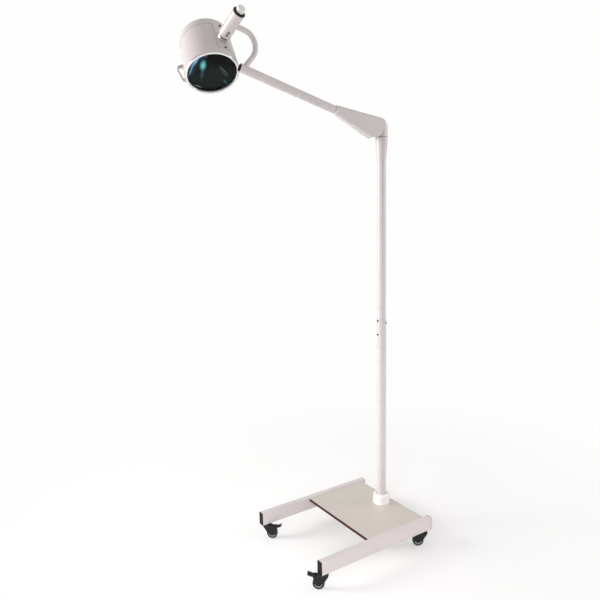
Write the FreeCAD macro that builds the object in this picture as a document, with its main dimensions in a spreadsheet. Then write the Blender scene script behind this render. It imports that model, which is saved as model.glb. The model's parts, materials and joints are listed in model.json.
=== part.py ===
import FreeCAD, Part
import math
import os
import sys
import Sketcher
from FreeCAD import Placement, Rotation, Vector

# Mobile surgical light: a two-rail wheeled base with a steel plate, an upright column, a tilting
# arm under a tapered cover, and a round reflector head carried by a hooked tube and a swivel barrel.
# Frame: millimetres, +Z up, the column axis is x = y = 0, the floor is z = 0. The front is -Y, where
# the arm reaches, and the left is -X.

doc = FreeCAD.newDocument("SurgicalLight")
sheet = doc.addObject("Spreadsheet::Sheet", "Sheet")

# Driving dimensions: (alias, millimetres or degrees)
SIZES = [
    # wheeled base
    ("rail_x", 240.0), ("rail_w", 30.0), ("rail_ht", 60.0), ("rail_wall", 2.0), ("rail_z", 72.0),
    ("rail_front", -538.0), ("rail_back", 79.0), ("rail_round", 4.0), ("cap_thk", 3.0),
    ("plate_half", 224.5), ("plate_front", -268.5), ("plate_back", 58.0), ("plate_z", 115.5),
    ("plate_thk", 12.0), ("trim_thk", 2.5), ("bracket_leg", 30.0), ("bracket_thk", 3.0),
    # column
    ("collar_rad", 41.0), ("collar_ht", 47.0), ("low_rad", 22.0), ("low_bore", 20.05),
    ("low_top", 1034.0), ("up_rad", 20.0), ("up_bore", 18.0), ("up_bottom", 914.0),
    ("up_top", 1780.0), ("socket_rad", 27.0), ("socket_bottom", 1765.0), ("socket_top", 1857.0),
    ("spindle_rad", 12.0), ("bush_rad", 14.0),
    # elbow and arm; arm_rise is an angle
    ("post_rad", 27.0), ("post_z", 1859.0), ("crown_y", -16.0), ("crown_z", 1878.0),
    ("crown_rad", 43.0), ("ear_half", 15.0), ("ear_rad", 20.0), ("pivot_y", -27.0),
    ("pivot_z", 1893.1), ("pin_rad", 5.0), ("arm_rise", 15.7),
    ("arm_rad", 16.5), ("arm_bore", 14.5), ("arm_start", 66.0), ("arm_len", 698.1),
    ("cover_front", 236.5), ("cover_rear", -20.0), ("cover_half", 30.4), ("cover_up", 49.0),
    ("cover_down", 59.7), ("cover_round", 15.0), ("cover_nose", 20.0), ("cover_chin", 18.0),
    ("cover_nose_round", 17.4), ("cover_wall", 2.5), ("cover_lip", 1.4),
    ("yoke_rad", 10.0), ("yoke_bore", 7.5), ("yoke_bend", 56.6), ("yoke_height", 137.0),
    ("yoke_reach", 765.5),
    # swivel barrel and knob; barrel_turn is an angle
    ("barrel_rad", 24.0), ("barrel_half", 54.0), ("barrel_bore", 11.05), ("shaft_rad", 8.0),
    ("barrel_turn", 34.0), ("knob_rad", 16.0), ("knob_ht", 20.0),
    # head; head_tip is an angle
    ("head_reach", 178.0), ("head_tip", 6.5), ("drum_back_rad", 98.2), ("drum_front_rad", 106.6),
    ("drum_wall", 2.0), ("drum_back", -80.0), ("drum_front", 74.0), ("bezel_rad", 104.0),
    ("bezel_bore", 94.5), ("glass_rad", 99.0), ("glass_thk", 4.0), ("glass_z", 64.0),
    ("cap_skirt", 99.6), ("cap_end", -111.0), ("cap_round", 14.0),
    # casters
    ("stem_y_front", -512.0), ("stem_y_back", 50.0), ("trail", 28.0), ("wheel_rad", 25.0),
    ("wheel_half", 9.0), ("axle_rad", 3.0), ("axle_drop", 47.0),
]


class Dim:
    """A sheet value together with the expression text that yields it."""

    def __init__(self, value, text):
        self.value, self.text = float(value), text

    @staticmethod
    def wrap(other):
        if isinstance(other, Dim):
            return other
        return Dim(other, ("%.6f" % other) if other >= 0 else ("(0 - %.6f)" % -other))

    def joined(self, other, sign, value):
        return Dim(value, "(%s %s %s)" % (self.text, sign, other.text))

    def __add__(self, other):
        other = Dim.wrap(other)
        return self.joined(other, "+", self.value + other.value)

    def __sub__(self, other):
        other = Dim.wrap(other)
        return self.joined(other, "-", self.value - other.value)

    def __rsub__(self, other):
        return Dim.wrap(other) - self

    def __mul__(self, other):
        other = Dim.wrap(other)
        return self.joined(other, "*", self.value * other.value)

    def __truediv__(self, other):
        other = Dim.wrap(other)
        return self.joined(other, "/", self.value / other.value)

    def __neg__(self):
        return Dim(-self.value, "(0 - %s)" % self.text)


class Sizes:
    """The sheet's dimensions, one Dim attribute for each alias."""


for row, (alias, value) in enumerate(SIZES, start=1):
    sheet.set("A%d" % row, alias.replace("_", " "))
    sheet.set("B%d" % row, "%g" % value)
    sheet.setAlias("B%d" % row, alias)
doc.recompute()
size = Sizes()
for alias, _ in SIZES:
    setattr(size, alias, Dim(getattr(sheet, alias), "Sheet." + alias))

X, Y, Z = Vector(1, 0, 0), Vector(0, 1, 0), Vector(0, 0, 1)
SIDES = (-1, 1)
pieces = []


# ---- outlines and placements -----------------------------------------------------------------
def num(dim):
    return dim.value if isinstance(dim, Dim) else float(dim)


def near(a, b):
    return abs(a - b) < 0.02


def polar(degrees):
    angle = math.radians(degrees)
    return Vector(math.cos(angle), math.sin(angle), 0)


def circle(radius, x=0.0, y=0.0):
    return ("circle", x, y, radius)


def box(x0, x1, y0, y1):
    return [(x0, y0), (x1, y0), (x1, y1), (x0, y1)]


def at(x=0.0, y=0.0, z=0.0, rotation=Rotation()):
    return Placement(Vector(x, y, z), rotation)


def radial(degrees, z, reach=0.0):
    """Looks out from the Z axis at height z, moved out by reach."""
    out = polar(degrees)
    return Placement(out * reach + Z * z, Rotation(Z, out))


def frame(origin, x, y, z):
    return Placement(FreeCAD.Matrix(x.x, y.x, z.x, origin.x, x.y, y.y, z.y, origin.y,
                                    x.z, y.z, z.z, origin.z, 0, 0, 0, 1))


# ---- sketches --------------------------------------------------------------------------------
def fix(sk, kind, target, dim):
    """Adds a dimension, bound to the sheet where dim is a Dim."""
    index = sk.addConstraint(Sketcher.Constraint(kind, *target, num(dim)))
    if isinstance(dim, Dim):
        sk.setExpression("Constraints[%d]" % index, dim.text)


def hold(sk, geo, pos, x, y):
    """Fixes a point of the sketch; a plain zero puts it on the axis instead."""
    for kind, axis, dim in (("DistanceX", -2, x), ("DistanceY", -1, y)):
        if not isinstance(dim, Dim) and abs(dim) < 1e-9:
            sk.addConstraint(Sketcher.Constraint("PointOnObject", geo, pos, axis))
        else:
            fix(sk, kind, (-1, 1, geo, pos), dim)


def new_sketch(owner, name, plane):
    sk = owner.newObject("Sketcher::SketchObject", name)
    planes = [o for o in owner.Origin.OriginFeatures if o.Role == plane + "_Plane"]
    sk.AttachmentSupport = [(planes[0], "")]
    sk.MapMode = "FlatFace"
    return sk


def add_line(sk, start, end):
    return sk.addGeometry(Part.LineSegment(start, end), False)


def add_arc(sk, centre, radius, start, end):
    """Runs anticlockwise between two angles in radians."""
    return sk.addGeometry(Part.ArcOfCircle(Part.Circle(centre, Z, radius), start, end), False)


def add_side(sk, corner, following):
    """Draws one side of a loop; returns its index and its first and last point numbers."""
    start = Vector(num(corner[0]), num(corner[1]), 0)
    end = Vector(num(following[0]), num(following[1]), 0)
    bend = corner[2] if len(corner) > 2 else 0
    if num(bend) == 0:
        return add_line(sk, start, end), 1, 2
    left = num(bend) > 0
    radius = bend if left else -bend
    chord = end - start
    across = Vector(-chord.y, chord.x, 0).normalize()
    height = math.sqrt(max(num(radius) ** 2 - chord.Length ** 2 / 4, 0.0))
    centre = (start + end) * 0.5 + across * (height if left else -height)
    first, last = (start, end) if left else (end, start)
    angle0 = math.atan2(first.y - centre.y, first.x - centre.x)
    angle1 = math.atan2(last.y - centre.y, last.x - centre.x)
    if angle1 < angle0:
        angle1 += 2 * math.pi
    geo = add_arc(sk, centre, num(radius), angle0, angle1)
    fix(sk, "Radius", (geo,), radius)
    return (geo, 1, 2) if left else (geo, 2, 1)


def sketch(owner, loops, plane="XY", offset=0.0):
    """Closed loops on one of the body's origin planes, moved by offset along its normal.

    XY looks along +Z; XZ draws (x, z) and looks along -Y; YZ draws (y, z) and looks along +X.
    A loop is a circle() or a list of corners (x, y) or (x, y, r). An r starts an arc of that
    radius that ends at the next corner (r > 0 turns left).
    """
    sk = new_sketch(owner, owner.Label + "_sketch", plane)
    if isinstance(offset, Dim):
        sk.setExpression("AttachmentOffset.Base.z", offset.text)
    else:
        sk.AttachmentOffset = at(z=offset)
    for loop in loops:
        if loop[0] == "circle":
            _, x, y, radius = loop
            round_ = Part.Circle(Vector(num(x), num(y), 0), Z, num(radius))
            geo = sk.addGeometry(round_, False)
            fix(sk, "Radius", (geo,), radius)
            hold(sk, geo, 3, x, y)
            continue
        following = loop[1:] + loop[:1]
        sides = [add_side(sk, *pair) for pair in zip(loop, following)]
        for (geo, _, last), (geo2, first2, _) in zip(sides, sides[1:] + sides[:1]):
            sk.addConstraint(Sketcher.Constraint("Coincident", geo, last, geo2, first2))
        for corner, (geo, first, _) in zip(loop, sides):
            hold(sk, geo, first, corner[0], corner[1])
    return sk


# ---- features --------------------------------------------------------------------------------
def body(label):
    return doc.addObject("PartDesign::Body", label)


def feature(owner, kind):
    return owner.newObject("PartDesign::" + kind, owner.Label + "_" + kind.lower())


def bind(obj, prop, dim):
    if isinstance(dim, Dim):
        obj.setExpression(prop, dim.text)
    else:
        setattr(obj, prop, dim)


def volume(owner):
    doc.recompute()
    return owner.Shape.Volume


def pad(owner, loops, length, plane="XY", offset=0.0, centred=False, flip=False, kind="Pad"):
    made = feature(owner, kind)
    made.Profile = sketch(owner, loops, plane, offset)
    bind(made, "Length", length)
    if centred:
        made.SideType = "Symmetric"
    made.Reversed = flip
    doc.recompute()


def pocket(owner, *how, **options):
    """Cuts against the plane's normal, or along it with flip; stops if nothing came away."""
    before = volume(owner)
    pad(owner, *how, kind="Pocket", **options)
    if not owner.Shape.Volume < before - 1e-3:
        sys.exit("pocket cut nothing in " + owner.Label)


def turn(owner, outline, angle=360.0, centred=False):
    """Turns an outline of (radius, z) corners about the body's Z axis."""
    made = feature(owner, "Revolution")
    sk = sketch(owner, [outline], "XZ")
    made.Profile = sk
    made.ReferenceAxis = (sk, ["V_Axis"])
    made.Angle = angle
    made.Midplane = centred
    doc.recompute()


def turned(label, outline):
    owner = body(label)
    turn(owner, outline)
    return owner


def soften(owner, amount, pick, kind="Fillet"):
    """Rounds (or chamfers) the edges of the body's last feature that pick(edge) accepts."""
    base = owner.Tip
    names = ["Edge%d" % i for i, edge in enumerate(base.Shape.Edges, start=1) if pick(edge)]
    if not names:
        sys.exit("no edges to soften in " + owner.Label)
    made = feature(owner, kind)
    made.Base = (base, names)
    bind(made, "Radius" if kind == "Fillet" else "Size", amount)
    doc.recompute()


def keep(obj, place=None):
    """Lists a finished piece for export under its Label."""
    if place is not None:
        obj.Placement = place
    pieces.append(obj)


def compound(label, placed):
    """One piece made of linked copies; placed lists (source, placement)."""
    links = []
    for i, (source, place) in enumerate(placed, start=1):
        link = doc.addObject("App::Link", "%s_%d" % (label, i))
        link.LinkedObject = source
        link.Placement = place
        links.append(link)
    made = doc.addObject("Part::Compound", label)
    made.Links = links
    keep(made)


def group(label, source, places):
    compound(label, [(source, place) for place in places])


def drilled(source, label, radius, places, reach):
    """The source with a hole of length reach along the Z axis of each placement."""
    drills = []
    for i, place in enumerate(places, start=1):
        drill = doc.addObject("Part::Cylinder", "%s_drill_%d" % (label, i))
        drill.Radius, drill.Height = radius, reach
        drill.Placement = place
        drills.append(drill)
    tool = doc.addObject("Part::Compound", label + "_drills")
    tool.Links = drills
    cut = doc.addObject("Part::Cut", label)
    cut.Base, cut.Tool = source, tool
    doc.recompute()
    if not cut.Shape.Volume < source.Shape.Volume - 1e-3:
        sys.exit("holes cut nothing in " + label)
    return cut


# ---- frames of the arm, the barrel and the head ----------------------------------------------
# Arm: origin at the pivot, +Z along the arm, +Y over it.
arm_angle = math.radians(size.arm_rise.value)
along = Vector(0, -math.cos(arm_angle), math.sin(arm_angle))
over = Vector(0, math.sin(arm_angle), math.cos(arm_angle))
pivot = Vector(0, size.pivot_y.value, size.pivot_z.value)
ARM = frame(pivot, X, over, along)

# Barrel: origin at its middle, +Z along the barrel towards the knob, +X along the arm.
barrel_centre = pivot + along * size.yoke_reach.value + over * size.yoke_height.value
barrel_angle = math.radians(size.barrel_turn.value)
barrel_axis = X * math.cos(barrel_angle) + over * math.sin(barrel_angle)
barrel_side = barrel_axis.cross(along)
BARREL = frame(barrel_centre, along, barrel_side, barrel_axis)

# Head: origin on the drum's axis, +Z along the beam, +X towards the barrel.
tip_angle = math.radians(size.head_tip.value)
beam = (barrel_side * math.cos(tip_angle)
        + barrel_axis.cross(barrel_side) * math.sin(tip_angle))
HEAD = frame(barrel_centre - barrel_axis * size.head_reach.value,
             barrel_axis, beam.cross(barrel_axis), beam)

# ---- wheeled base ----------------------------------------------------------------------------
HALF_TURN = Rotation(Z, 180)
BRACKET_Y = -105.0
BRACKET_LENGTH = 290
BRACKET_BOLT_YS = (-220.0, -105.0, 10.0)
BRACKET_BOLT_INSET = 20.0
COLLAR_BOLT_CIRCLE = 31.0
collar_bolts = [polar(angle) * COLLAR_BOLT_CIRCLE for angle in (45, 135, 225, 315)]
rail_inner = size.rail_x.value - size.rail_w.value / 2
bracket_bolts = [(side * (rail_inner - BRACKET_BOLT_INSET), y)
                 for side in SIDES for y in BRACKET_BOLT_YS]
plate_top = size.plate_z + size.plate_thk


def rails():
    half, wall = size.rail_w / 2, size.rail_wall
    low, high = size.rail_z, size.rail_z + size.rail_ht
    for label, side in (("left_rail", -1), ("right_rail", 1)):
        rail = body(label)
        middle = size.rail_x * side
        faces = (num(middle - half), num(middle + half))
        pad(rail, [box(middle - half, middle + half, low, high),
                   box(middle - half + wall, middle + half - wall, low + wall, high - wall)],
            size.rail_back - size.rail_front, "XZ", -size.rail_back)

        def outer_corner(edge):
            start = edge.Vertexes[0]
            return (edge.Length > 500 and min(abs(start.X - face) for face in faces) < 0.1
                    and (near(start.Z, low.value) or near(start.Z, high.value)))

        soften(rail, size.rail_round, outer_corner)
        # holes in the underside for the two caster stems
        pocket(rail, [circle(5.1, middle, y) for y in (size.stem_y_front, size.stem_y_back)],
               10, offset=low - 4, flip=True)
        keep(rail)


def rail_end_caps():
    cap = body("rail_cap")
    half, inset, thick = size.rail_w / 2, size.rail_wall + 0.1, size.cap_thk
    pad(cap, [box(-half, half, 0.0, size.rail_ht)], thick, "XZ")
    soften(cap, size.rail_round, lambda e: near(e.Length, thick.value))
    soften(cap, 1.2, lambda e: all(near(v.Y, -thick.value) for v in e.Vertexes))
    # spigot inside the rail
    pad(cap, [box(-half + inset, half - inset, inset, size.rail_ht - inset)], 14, "XZ", flip=True)
    x, z = size.rail_x.value, size.rail_z.value
    group("rail_end_caps", cap,
          [at(side * x, size.rail_front.value, z) for side in SIDES]
          + [at(side * x, size.rail_back.value, z, HALF_TURN) for side in SIDES])


def base_plate():
    plate = body("base_plate")
    half, front, bottom = size.plate_half, size.plate_front, size.plate_z
    pad(plate, [box(-half, half, front, size.plate_back)], size.plate_thk, offset=bottom)
    pocket(plate, [circle(4.2, p.x, p.y) for p in collar_bolts], 20, offset=bottom - 2, flip=True)
    pocket(plate, [circle(3.05, x, y) for x, y in bracket_bolts], 10, offset=bottom, flip=True)
    keep(plate)

    trim = body("plate_edge_trim")
    trim_front = front - size.trim_thk
    pad(trim, [box(-half, half, trim_front, front)], size.plate_thk + 0.6, offset=bottom - 0.3)
    soften(trim, 0.8, lambda e: e.Length > 400 and near(e.Vertexes[0].Y, trim_front.value))
    keep(trim)


def hex_bolt(label, head_radius, head_height, radius, length):
    """Head below z = 0, shank above it."""
    bolt = body(label)
    corners = [polar(60 * k) * head_radius for k in range(6)]
    pad(bolt, [[(p.x, p.y) for p in corners]], head_height, offset=-head_height)
    pad(bolt, [circle(radius)], length)
    return bolt


def plate_brackets():
    """Angle irons between the plate and the rails, with their bolts."""
    iron = body("angle_iron")
    leg, thick = size.bracket_leg, size.bracket_thk
    pad(iron, [[(0.0, 0.0), (-leg, 0.0), (-leg, -thick), (-thick, -thick), (-thick, -leg),
                (0.0, -leg)]], BRACKET_LENGTH, "XZ", centred=True)
    pocket(iron, [circle(3.3, -BRACKET_BOLT_INSET, y - BRACKET_Y) for y in BRACKET_BOLT_YS],
           10, offset=-5.0, flip=True)
    z = size.plate_z.value
    group("plate_brackets", iron,
          [at(rail_inner, BRACKET_Y, z), at(-rail_inner, BRACKET_Y, z, HALF_TURN)])
    bolt = hex_bolt("hex_bolt_small", 5.5, 4.0, 3.0, 12)
    group("bracket_bolts", bolt, [at(x, y, z - thick.value) for x, y in bracket_bolts])


def column_collar():
    bore, rad, top = size.low_rad + 0.05, size.collar_rad, plate_top + size.collar_ht
    collar = turned("column_collar", [
        (bore, plate_top), (rad, plate_top), (rad, plate_top + 6), (rad - 1.5, plate_top + 8),
        (rad - 2.0, top - 4, 4.0), (rad - 6.0, top), (size.low_rad + 3, top), (bore, top - 5)])
    pocket(collar, [circle(4.05, p.x, p.y) for p in collar_bolts], 22,
           offset=plate_top, flip=True)
    keep(collar)
    bolt = hex_bolt("hex_bolt_large", 7.2, 5.3, 4.0, 30)
    group("collar_bolts", bolt, [at(p.x, p.y, size.plate_z.value) for p in collar_bolts])


# ---- column ----------------------------------------------------------------------------------
# Screws that lock the upper tube inside the lower one: (angle about the column, height)
LOCK_SCREWS = [(-90, 1029.0), (30, 1019.0), (150, 1019.0), (-90, 964.0)]


def column_tubes():
    places = [radial(*screw) for screw in LOCK_SCREWS]
    rad, bore, top = size.low_rad, size.low_bore, size.low_top
    lower = turned("lower_tube", [(bore, plate_top), (rad, plate_top), (rad, top - 1),
                                  (rad - 1, top), (bore, top)])
    keep(drilled(lower, "lower_column", 2.55, places, 40.0))
    rad, bore, bottom, top = size.up_rad, size.up_bore, size.up_bottom, size.up_top
    upper = turned("upper_tube", [(bore, bottom), (rad, bottom), (rad, top), (bore, top)])
    keep(drilled(upper, "upper_column", 2.55, places, 40.0))
    screw = turned("lock_screw", [(0.0, 16.5), (2.5, 16.5), (2.5, 22.05), (4.2, 22.05),
                                  (4.2, 23.2, 1.2), (3.0, 24.4), (0.0, 24.4)])
    group("column_screws", screw, places)


def column_top():
    """Socket on the upper tube, the bush inside it and the washer on it."""
    bore, rad, bush = size.up_rad + 0.05, size.socket_rad, size.bush_rad
    bottom, top, seat = size.socket_bottom, size.socket_top, size.up_top
    keep(turned("top_socket", [
        (bore, bottom), (size.up_rad + 1.6, bottom), (size.up_rad + 2.4, bottom + 22),
        (rad - 1.6, top - 24), (rad - 0.4, top - 17), (rad, top - 13), (rad, top - 0.6),
        (rad - 0.6, top), (bush + 0.02, top), (bush + 0.02, seat + 4), (bore, seat + 0.5)]))
    hole = size.spindle_rad + 0.05
    keep(turned("swivel_bush", box(hole, bush, seat + 6, top - 0.5)))
    hole = size.spindle_rad + 0.1
    keep(turned("thrust_washer", box(hole, rad - 1.2, top + 0.02, size.post_z)))


# ---- elbow -----------------------------------------------------------------------------------
def elbow():
    knuckle = body("elbow_knuckle")
    y, z, ear, half = size.pivot_y, size.pivot_z, size.ear_rad, size.ear_half
    foot, spindle = size.up_top + 8, size.spindle_rad
    turn(knuckle, [(0.0, foot), (spindle, foot), (spindle, size.post_z),
                   (size.post_rad, size.post_z), (size.post_rad, z + 30), (0.0, z + 30)])
    # the post's head is crowned front to back, so that the arm cover turns over it at every tilt
    rad, crown_y, crown_z = size.crown_rad, size.crown_y, size.crown_z
    low, high = polar(5), polar(107)
    pocket(knuckle, [[(crown_y + rad * low.x, crown_z + rad * low.y, rad),
                      (crown_y + rad * high.x, crown_z + rad * high.y),
                      (crown_y + rad * high.x, crown_z + 90), (80.0, crown_z + 90),
                      (80.0, crown_z + rad * low.y)]], 120, "YZ", centred=True)
    # ear around the pin
    pad(knuckle, [[(0.0, z - ear), (y, z - ear), (y, z + ear), (0.0, z + ear)]],
        half * 2, "YZ", centred=True)
    pad(knuckle, [circle(ear, y, z)], half * 2, "YZ", centred=True)
    pocket(knuckle, [circle(size.pin_rad + 0.02, y, z)], 80, "YZ", centred=True)
    # side recesses for the two eyes of the pivot fork
    pocket(knuckle, [circle(16.0, y, z)], 30, "YZ", half, flip=True)
    pocket(knuckle, [circle(16.0, y, z)], 30, "YZ", -half)
    keep(knuckle)

    pin = body("elbow_pin")
    pad(pin, [circle(size.pin_rad, y, z)], 46, "YZ", centred=True)
    soften(pin, 0.8, lambda e: True, "Chamfer")
    keep(pin)


# ---- arm (arm frame) -------------------------------------------------------------------------
COVER_SCREW_ZS = (80.0, 100.0)
COVER_SCREW_REACH = 14.0  # from the screw's inner end to the cover's flank
PIVOT_FORK_WIDTH = 38.6
PIVOT_FORK_GAP = 30.6
# Side view (y, z, arc radius) of what is cut away under and behind the cover
COVER_CUT = [
    (-58.4, 60.0), (-43.8, 8.0), (-30.5, -4.7), (-2.0, -17.6), (33.425, -18.0, 38.5),
    (45.174, 5.0), (90.0, 5.0), (90.0, -60.0), (-110.0, -60.0), (-110.0, 60.0),
]


def pivot_bracket():
    fork = body("pivot_bracket")
    pad(fork, [circle(14.0)], PIVOT_FORK_WIDTH, "YZ", centred=True)
    pad(fork, [[(-14.0, 0.0), (14.0, 0.0), (20.0, 62.0), (-20.0, 62.0)]],
        PIVOT_FORK_WIDTH, "YZ", centred=True)
    pad(fork, [box(-22.0, 22.0, 60.0, 112.0)], 42, "YZ", centred=True)
    pocket(fork, [box(-30.0, 30.0, -20.0, 60.0)], PIVOT_FORK_GAP, "YZ", centred=True)
    pocket(fork, [circle(size.pin_rad + 0.06)], 60, "YZ", centred=True)
    # seat of the arm tube, the rod's hole and the cover screws' holes
    pocket(fork, [circle(size.arm_rad + 0.03)], 60, "XY", size.arm_start, flip=True)
    pocket(fork, [circle(4.0)], 30, "XY", 50.0, flip=True)
    pocket(fork, [circle(2.05, 0.0, z) for z in COVER_SCREW_ZS], 12, "YZ", -22.5, flip=True)
    keep(fork, ARM)


def arm_tube():
    tube = turned("arm_tube", box(size.arm_bore, size.arm_rad, size.arm_start, size.arm_len))
    pocket(tube, [circle(2.05, 0.0, z) for z in COVER_SCREW_ZS], 12, "YZ", -20.0, flip=True)
    keep(tube, ARM)


def tapered(rear, front, z):
    """A cover size at z, between its values at the rear and at the front."""
    share = (z - size.cover_rear) / (size.cover_front - size.cover_rear)
    return rear + (front - rear) * share


def half_section(side, shrink, z):
    """Half a rounded rectangle across the arm: taller at the elbow, nearly round at the nose."""
    top = tapered(size.cover_up, size.cover_nose, z) - shrink
    low = -(tapered(size.cover_down, size.cover_chin, z) - shrink)
    flank = (tapered(size.cover_half, size.cover_nose, z) - shrink) * side
    corner = tapered(size.cover_round, size.cover_nose_round, z) - shrink
    seam = 0.12 * side
    bend = corner * -side
    return [(seam, top), (flank - corner * side, top, bend), (flank, top - corner),
            (flank, low + corner, bend), (flank - corner * side, low), (seam, low)]


def arm_covers():
    rear, front = size.cover_rear, size.cover_front
    # loft kind, then the shrink and z of its two end sections
    lofts = [("AdditiveLoft", (0.0, rear), (0.0, front)),
             ("SubtractiveLoft", (size.cover_wall, rear - 2), (size.cover_lip, front + 2))]
    for label, side in (("arm_cover_left", -1), ("arm_cover_right", 1)):
        cover = body(label)
        volumes = []
        for kind, start, end in lofts:
            loft = feature(cover, kind)
            loft.Profile = sketch(cover, [half_section(side, *start)], "XY", start[1])
            loft.Sections = [sketch(cover, [half_section(side, *end)], "XY", end[1])]
            loft.Ruled = True
            volumes.append(volume(cover))
        if not volumes[1] < volumes[0] * 0.5:
            sys.exit("cover not hollow: " + label)
        # open underside and rear and a rounded top corner clear the knuckle and the column
        pocket(cover, [COVER_CUT], 120, "YZ", centred=True)
        if side < 0:
            pocket(cover, [circle(2.2, 0.0, z) for z in COVER_SCREW_ZS], 20, "YZ", -36.0,
                   flip=True)
        keep(cover, ARM)


def arm_fittings():
    screw = turned("cover_screw", [(0.0, 0.0), (2.0, 0.0), (2.0, 14.2), (4.0, 14.2), (4.0, 15.4),
                                   (3.0, 16.4), (0.0, 16.4)])
    places = []
    for z in COVER_SCREW_ZS:
        flank = tapered(size.cover_half, size.cover_nose, z).value
        places.append(ARM.multiply(at(COVER_SCREW_REACH - flank, 0, z, Rotation(Z, -X))))
    group("cover_screws", screw, places)

    rad, z = size.arm_rad, size.cover_front
    keep(turned("socket_ring", [(rad + 0.05, z + 0.05), (20.2, z + 0.05), (20.2, z + 2.4),
                                (19.0, z + 3.6), (rad + 0.9, z + 3.6), (rad + 0.05, z + 2.6)]),
         ARM)

    spring = body("balance_spring")
    coil = feature(spring, "AdditiveHelix")
    wire = sketch(spring, [circle(1.25, 10.0, 70.0)], "XZ")
    coil.Profile = wire
    coil.ReferenceAxis = (wire, ["V_Axis"])
    coil.Mode = 0  # pitch and height
    coil.Pitch, coil.Height = 8.0, 120.0
    keep(spring, ARM)

    rod = turned("balance_rod", [(0.0, 34.0), (3.0, 34.0), (3.0, 194.0), (12.5, 194.0),
                                 (12.5, 198.0), (3.0, 198.0), (3.0, 206.0), (0.0, 206.0)])
    pad(rod, [circle(7.0, 0.0, 31.0)], 8, "YZ", centred=True)
    pocket(rod, [circle(3.6, 0.0, 31.0)], 20, "YZ", centred=True)
    keep(rod, ARM)

    rad, end = size.arm_bore - 0.05, size.arm_len
    keep(turned("arm_end_plug", [(0.0, end - 10), (rad, end - 10), (rad, end - 1.2),
                                 (size.arm_bore - 0.85, end - 0.4), (0.0, end - 0.4)]), ARM)


# The hooked tube leaves its bend at this angle: cosine and sine
YOKE_LEAN = (0.44, 0.898)
YOKE_LEG = 62.0
yoke_end = size.yoke_reach - 12.0


def yoke_path(owner):
    """Centre line in the arm's (y, z): a leaning leg, the bend, a run parallel to the arm."""
    path = new_sketch(owner, "yoke_path", "YZ")
    cosine, sine = YOKE_LEAN
    bend, crest = size.yoke_bend, size.arm_len + 8.6
    bend_start = (size.yoke_height - bend * (1 + cosine), crest - bend * sine)
    root = (bend_start[0] - YOKE_LEG * sine, bend_start[1] + YOKE_LEG * cosine)
    bend_end = (size.yoke_height, crest)
    tip = (size.yoke_height, yoke_end)
    corners = [Vector(num(x), num(y), 0) for x, y in (root, bend_start, bend_end, tip)]
    add_line(path, corners[0], corners[1])
    add_arc(path, corners[2] - X * bend.value, bend.value, math.atan2(-sine, -cosine), 0.0)
    add_line(path, corners[2], corners[3])
    path.addConstraint(Sketcher.Constraint("Coincident", 0, 2, 1, 1))
    path.addConstraint(Sketcher.Constraint("Coincident", 1, 2, 2, 1))
    fix(path, "Radius", (1,), bend)
    for geo, pos, point in ((0, 1, root), (1, 1, bend_start), (2, 1, bend_end), (2, 2, tip)):
        hold(path, geo, pos, *point)
    doc.recompute()
    return path


def yoke_tube():
    """Rises from the arm tube near its end, bends over and runs into the barrel."""
    yoke = body("yoke_tube")
    path = yoke_path(yoke)
    volumes = []
    for kind, radius in (("AdditivePipe", size.yoke_rad), ("SubtractivePipe", size.yoke_bore)):
        profile = sketch(yoke, [circle(radius, 0.0, size.yoke_height)], "XY", yoke_end)
        pipe = feature(yoke, kind)
        pipe.Profile = profile
        pipe.Spine = (path, ["Edge3", "Edge2", "Edge1"])
        volumes.append(volume(yoke))
    if not volumes[1] < volumes[0] * 0.8:
        sys.exit("yoke tube not hollow")
    # the foot is cut to the arm tube
    pocket(yoke, [circle(size.arm_rad + 0.01)], 200, "XY", 600.0, flip=True)
    keep(yoke, ARM)


# ---- swivel barrel, knob and spindle (barrel frame) ------------------------------------------
BARREL_SCREWS = [(88.0, -24.0), (84.0, -35.5)]  # angle about the barrel, z
BUSH_LENGTH = 17.0


def tilt_barrel():
    half, rad, bore = size.barrel_half, size.barrel_rad, size.barrel_bore
    blank = turned("barrel_blank", [(bore, -half), (rad - 2, -half), (rad, -half + 2),
                                    (rad, half - 2), (rad - 2, half), (bore, half)])
    pocket(blank, [circle(size.yoke_rad + 0.06)], 40, "YZ")
    places = [radial(*screw) for screw in BARREL_SCREWS]
    keep(drilled(blank, "tilt_barrel", 2.05, places, 40.0), BARREL)
    screw = turned("barrel_set_screw", [(0.0, 12.5), (2.0, 12.5), (2.0, 24.05), (3.6, 24.05),
                                        (3.6, 25.2), (2.6, 26.2), (0.0, 26.2)])
    group("barrel_screws", screw, [BARREL.multiply(place) for place in places])
    bush = turned("barrel_bush", box(size.shaft_rad + 0.05, bore - 0.02, 0.0, BUSH_LENGTH))
    group("barrel_bushes", bush, [BARREL.multiply(at(z=z))
                                  for z in (-half.value, half.value - BUSH_LENGTH)])
    hole = size.shaft_rad + 0.6
    keep(turned("barrel_end_ring", [
        (hole, half + 0.02), (rad + 0.4, half + 0.02), (rad + 0.4, half + 3), (rad - 0.6, half + 4),
        (17.5, half + 4), (16.5, half + 2), (hole, half + 2)]), BARREL)


def tension_knob():
    bore, rad = size.shaft_rad - 2.94, size.knob_rad
    low = size.barrel_half + 4.6
    top = low + size.knob_ht
    keep(turned("tension_knob", [
        (bore, low), (rad - 2, low), (rad, low + 2), (rad, top - 10, 10.0), (rad - 10, top),
        (0.0, top + 0.8), (0.0, low + 18), (bore, low + 18)]), BARREL)


def head_spindle():
    rad, half = size.shaft_rad, size.barrel_half
    keep(turned("head_spindle", [
        (0.0, -66.0), (22.0, -66.0), (22.0, -58.0), (rad, -58.0), (rad, half + 1),
        (rad - 3, half + 1), (rad - 3, half + 20), (0.0, half + 20)]), BARREL)
    keep(turned("head_washer", box(rad + 0.1, 21.5, -58.0, -54.05)), BARREL)


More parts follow.
